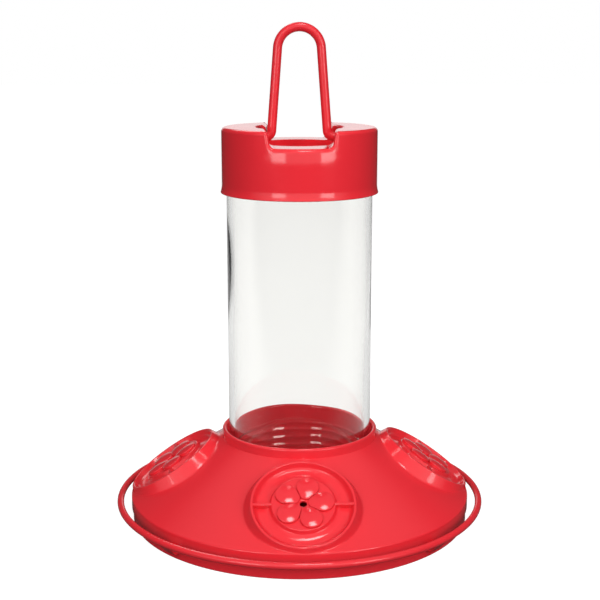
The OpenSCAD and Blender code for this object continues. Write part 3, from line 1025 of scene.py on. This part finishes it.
def round_cap_lips(bm):
    """Rounds the lips of the well and the notches, and of the wall between them."""
    lips = []
    for edge in bm.edges:
        if not edge.is_manifold or edge.calc_face_angle_signed(0.0) < math.radians(40):
            continue
        middle = (edge.verts[0].co + edge.verts[1].co) / 2 / MM
        radius = math.hypot(middle.x, middle.y)
        if middle.z > NOTCH_H - 0.5 and (radius > CAP_BORE_R + 1.5 or middle.z > CAP_TOP_H - 0.1):
            lips.append(edge)
    bmesh.ops.bevel(bm, geom=lips, offset=CAP_LIP * MM, offset_type="OFFSET", affect="EDGES",
                    segments=6, profile=0.5, material=-1, clamp_overlap=False)


def make_cap(material):
    """The cap: a drafted cup with a well, a channel and a notch at the front and at the back."""
    above = CAP_TOP_H + 2 * PAST
    inside = upright_cylinder(CAP_BORE_R, CAP_LOW_H - PAST, CAP_TOP_H - CAP_WALL, CAVITY_STEPS)
    well_wall = upright_cylinder(WELL_R + CAP_WALL, WELL_FLOOR_H - CAP_WALL, above, WELL_STEPS)
    cavity = as_object(inside, "cavity")
    cut_away(cavity, [
        as_object(well_wall, "well_wall"),
        as_object(channel_body(CAP_WALL, 1), "front_wall"),
        as_object(channel_body(CAP_WALL, -1), "back_wall"),
    ])
    cap = as_object(cap_body(), "cap")
    cut_away(cap, [
        cavity,
        as_object(upright_cylinder(WELL_R, WELL_FLOOR_H, above, WELL_STEPS), "well"),
        as_object(channel_body(0, 1), "front_channel"),
        as_object(channel_body(0, -1), "back_channel"),
    ])
    bm = as_bmesh(cap)
    bmesh.ops.remove_doubles(bm, verts=bm.verts[:], dist=5e-5)
    bmesh.ops.dissolve_degenerate(bm, edges=bm.edges[:], dist=1e-6)
    round_cap_lips(bm)
    soften_notch_lip(bm)
    cap = as_object(bm, "cap")
    hole = upright_cylinder(FOOT_HOLE_R, -FOOT_END - PAST, FOOT_END + PAST, HOLE_STEPS)
    across = Matrix.Rotation(QUARTER, 3, "Y")
    bmesh.ops.rotate(hole, verts=hole.verts[:], cent=(0, 0, 0), matrix=across)
    bmesh.ops.translate(hole, verts=hole.verts[:], vec=(0, 0, PIVOT_H * MM))
    cut_away(cap, [as_object(hole, "foot_holes")])
    bm = as_bmesh(cap)
    for i in range(CAP_RIBS):
        rib = cap_rib((i + 0.5) * 2 * math.pi / CAP_RIBS)
        add_copy(bm, rib)
        rib.free()
    return finish_piece(bm, "cap_with_well", material, "jar", "cap")


# Hanger

def make_hanger(material):
    """One wire: a foot, its bend, a leaning leg and half the top bend, mirrored."""
    bm = bmesh.new()
    circle = bmesh.ops.create_circle(bm, cap_ends=False, segments=WIRE_SIDES, radius=WIRE_R * MM)
    ring = circle["verts"]
    bmesh.ops.rotate(bm, verts=ring, cent=(0, 0, 0), matrix=Matrix.Rotation(QUARTER, 3, "Y"))
    bmesh.ops.translate(bm, verts=ring, vec=(FOOT_END * MM, 0, PIVOT_H * MM))
    end = bm.edges[:]
    close_wire_end(bm, end)
    ring = push_ring(bm, end, Vector((FOOT_X - FOOT_END, 0, 0)), 4)
    ring = turn_ring(bm, ring, (FOOT_X, PIVOT_H + FOOT_BEND_R), QUARTER - LEG_LEAN, 14)
    lean = Vector((-math.sin(LEG_LEAN), 0, math.cos(LEG_LEAN)))
    ring = push_ring(bm, ring, lean * LEG_LEN, 12)
    turn_ring(bm, ring, (0, LOOP_H), -(QUARTER - LEG_LEAN), 28)
    bmesh.ops.mirror(bm, geom=bm.verts[:] + bm.edges[:] + bm.faces[:], matrix=Matrix.Identity(4),
                     merge_dist=1e-5, axis="X")
    bmesh.ops.remove_doubles(bm, verts=bm.verts[:], dist=1e-6)
    bmesh.ops.recalc_face_normals(bm, faces=bm.faces[:])
    return finish_piece(bm, "wire_hanger", material, "hanger", "hanger", crease=60.0)


def close_wire_end(bm, ring):
    """A softly rounded end on the wire, outwards from the ring."""
    for reach, size in WIRE_END:
        ring = push_ring(bm, ring, Vector((reach, 0, 0)), 1)
        verts = list({v for edge in ring for v in edge.verts})
        centre = sum((v.co for v in verts), Vector()) / len(verts)
        for vert in verts:
            vert.co = centre + (vert.co - centre) * size
    bmesh.ops.contextual_create(bm, geom=ring)


def push_ring(bm, ring, move, steps):
    """Extrudes a ring of edges along a straight stretch, in millimetres, and gives the new ring."""
    for _ in range(steps):
        made = bmesh.ops.extrude_edge_only(bm, edges=ring)["geom"]
        verts = [item for item in made if isinstance(item, bmesh.types.BMVert)]
        bmesh.ops.translate(bm, verts=verts, vec=move * MM / steps)
        ring = [item for item in made if isinstance(item, bmesh.types.BMEdge)
                and item.verts[0] in verts and item.verts[1] in verts]
    return ring


def turn_ring(bm, ring, centre, angle, steps):
    """Spins a ring of edges round an axis along Y, and gives the last ring."""
    verts = list({v for edge in ring for v in edge.verts})
    made = bmesh.ops.spin(bm, geom=verts + ring, cent=(centre[0] * MM, 0, centre[1] * MM),
                          axis=(0, 1, 0), angle=angle, steps=steps, use_merge=False)["geom_last"]
    return [item for item in made if isinstance(item, bmesh.types.BMEdge)]


# The whole feeder

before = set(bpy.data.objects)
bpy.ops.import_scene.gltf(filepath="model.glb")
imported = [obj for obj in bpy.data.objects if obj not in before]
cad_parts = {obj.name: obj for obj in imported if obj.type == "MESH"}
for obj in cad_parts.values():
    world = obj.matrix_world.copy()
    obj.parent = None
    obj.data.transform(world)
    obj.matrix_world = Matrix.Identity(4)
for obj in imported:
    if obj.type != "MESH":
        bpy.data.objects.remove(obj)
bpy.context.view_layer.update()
bpy.context.scene.view_settings.view_transform = "Standard"

make_camera()
make_studio_world()
make_floor()
for lamp in LAMPS:
    make_softbox(*lamp)

red = moulded_plastic("red_moulded_plastic", *RED_PLASTIC)
coated = moulded_plastic("red_wire_coating", *RED_COATING)

make_basin(red)
make_cover(red)
make_seal(soft_seal())
make_jar(clear_glass())
make_cap(red)
make_hanger(coated)
